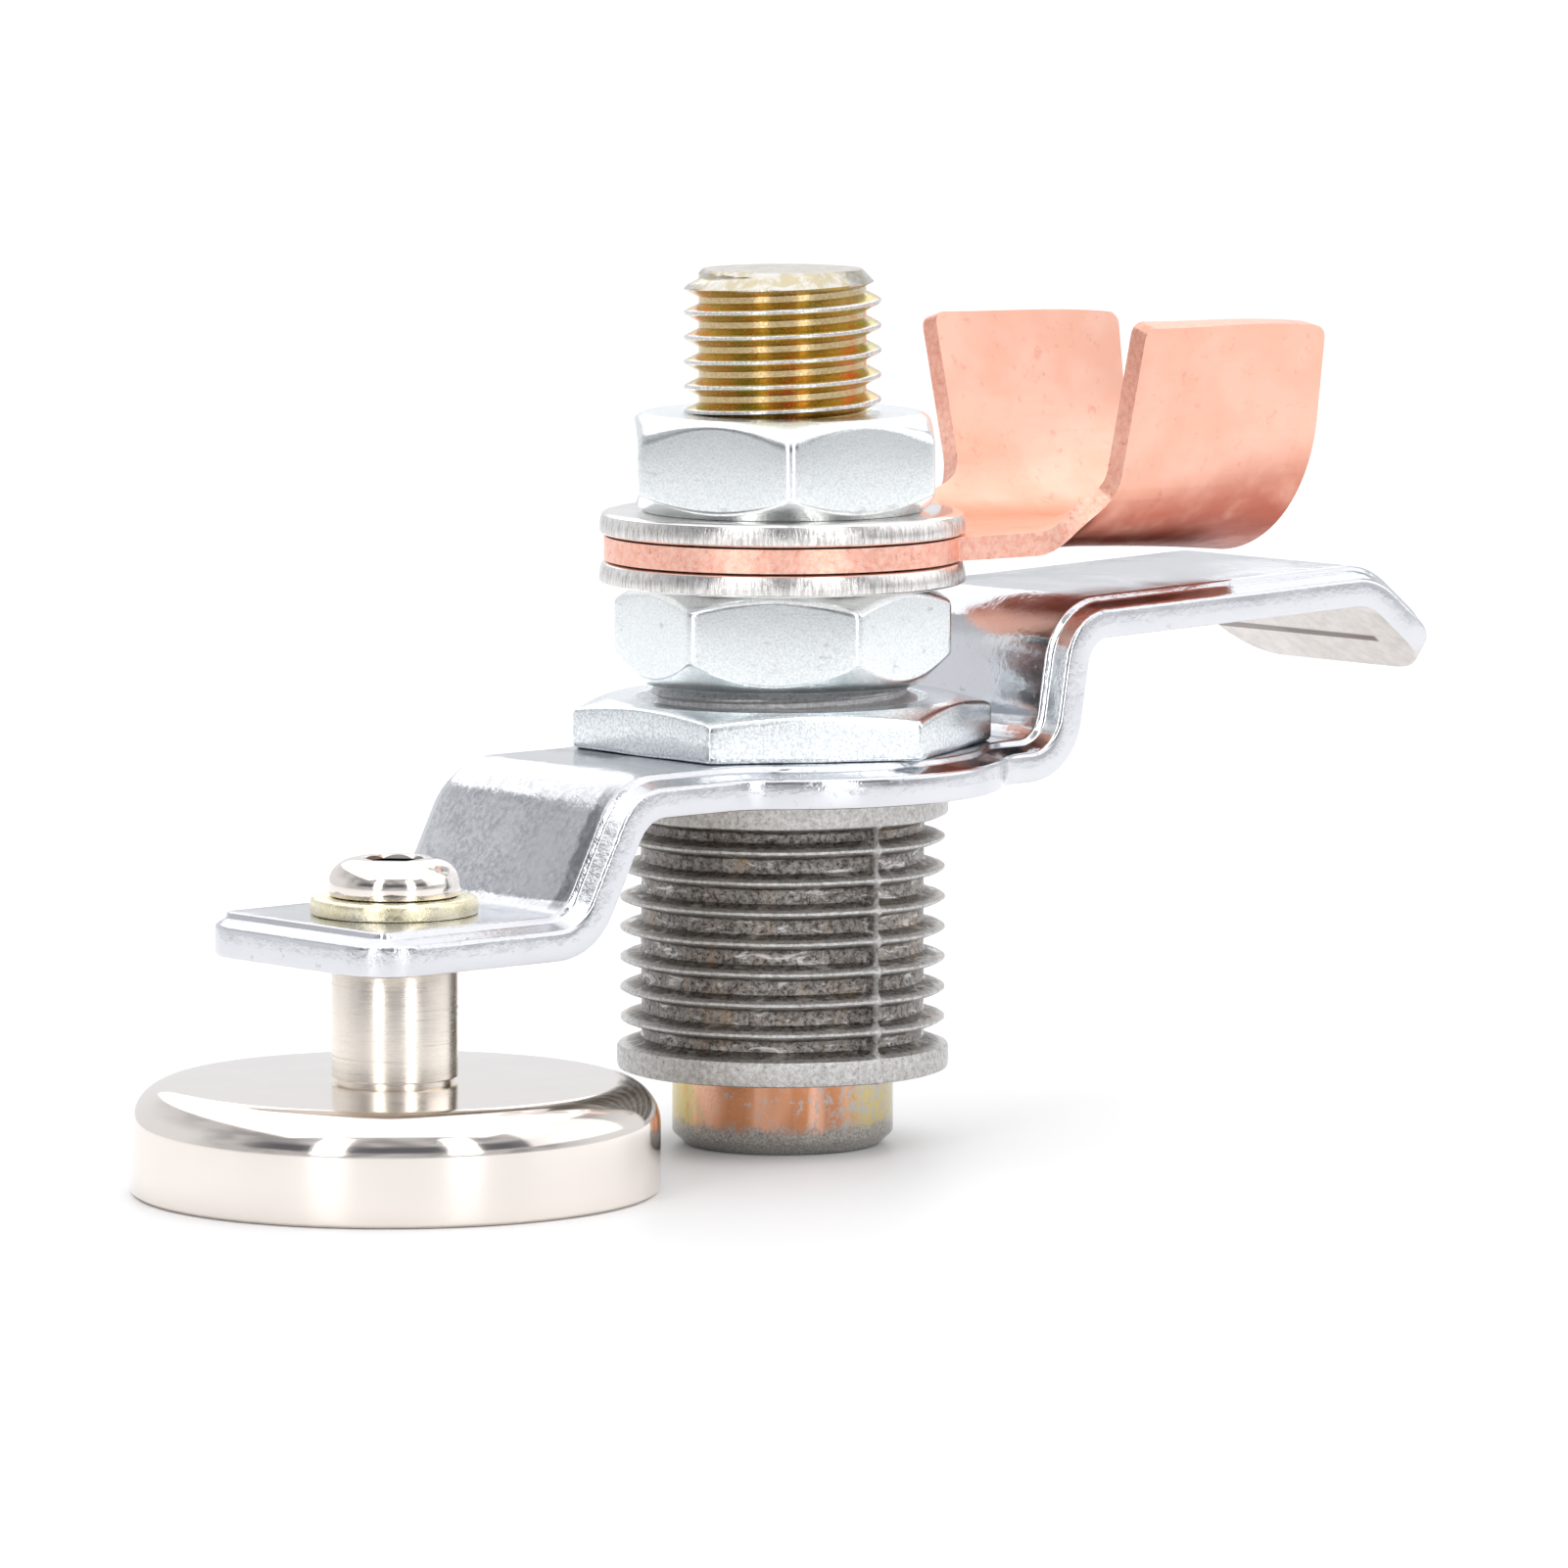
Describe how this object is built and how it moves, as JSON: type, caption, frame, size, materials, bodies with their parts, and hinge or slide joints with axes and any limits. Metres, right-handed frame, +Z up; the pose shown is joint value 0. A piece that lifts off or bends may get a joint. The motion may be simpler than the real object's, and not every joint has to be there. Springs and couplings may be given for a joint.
{
  "type": "magnetic welding ground clamp",
  "caption": "Magnetic welding earth clamp: pot magnet and sprung contact stud on a stepped steel arm, with an open-barrel copper cable lug.",
  "frame": {"origin": "centre of the contact stud's foot, in the plane of the magnet's face", "axes": "+Z up the stud, away from the work; +X along the arm, from the magnet towards the handle lip"},
  "size_m": [0.1273, 0.042, 0.0713],
  "materials": {
    "magnet_nickel": "bright nickel plate with fine scratches",
    "magnet_core": "ground sintered magnet, matt dark grey",
    "gap_brass": "faced brass spacer",
    "potting": "matt black epoxy",
    "screw_nickel": "bright nickel",
    "yellow_zinc": "pale yellow zinc, textured",
    "arm_chrome": "bright chrome over slightly rippled stamped steel",
    "sleeve_casting": "rough grey die casting with brown stains",
    "nut_zinc": "clear blue zinc, speckled",
    "stud_zinc": "iridescent yellow zinc, worn bright on the thread crests",
    "washer_nickel": "nickel plate with rough sheared edges",
    "lug_copper": "satin copper sheet with sheared edges",
    "spring_steel": "oiled spring wire"
  },
  "bodies": {
    "clamp_frame": {"magnet_cup": "magnet_nickel", "magnet_ring": "magnet_core", "magnet_gap_ring": "gap_brass", "magnet_potting": "potting", "magnet_post": "magnet_nickel", "button_screw": "screw_nickel", "screw_washer": "yellow_zinc", "support_arm": "arm_chrome", "contact_sleeve": "sleeve_casting", "sleeve_nut": "nut_zinc", "contact_spring": "spring_steel"},
    "contact_plunger": {"contact_stud": "stud_zinc", "spring_seat_washer": "washer_nickel", "lower_nut": "nut_zinc", "lower_washer": "washer_nickel", "upper_washer": "washer_nickel", "top_nut": "nut_zinc"},
    "cable_terminal": {"cable_lug": "lug_copper"}
  },
  "joints": [
    {"name": "contact_slide", "type": "slide", "parent": "clamp_frame", "child": "contact_plunger", "axis": [0, 0, 1], "range_m": [0, 0.005], "stiffness_N_per_m": 6000, "springref_m": -0.003, "deforming": ["contact_spring"]},
    {"name": "lug_swivel", "type": "hinge", "parent": "contact_plunger", "child": "cable_terminal", "pos_m": [0, 0, 0.0488], "axis": [0, 0, 1], "continuous": true}
  ]
}
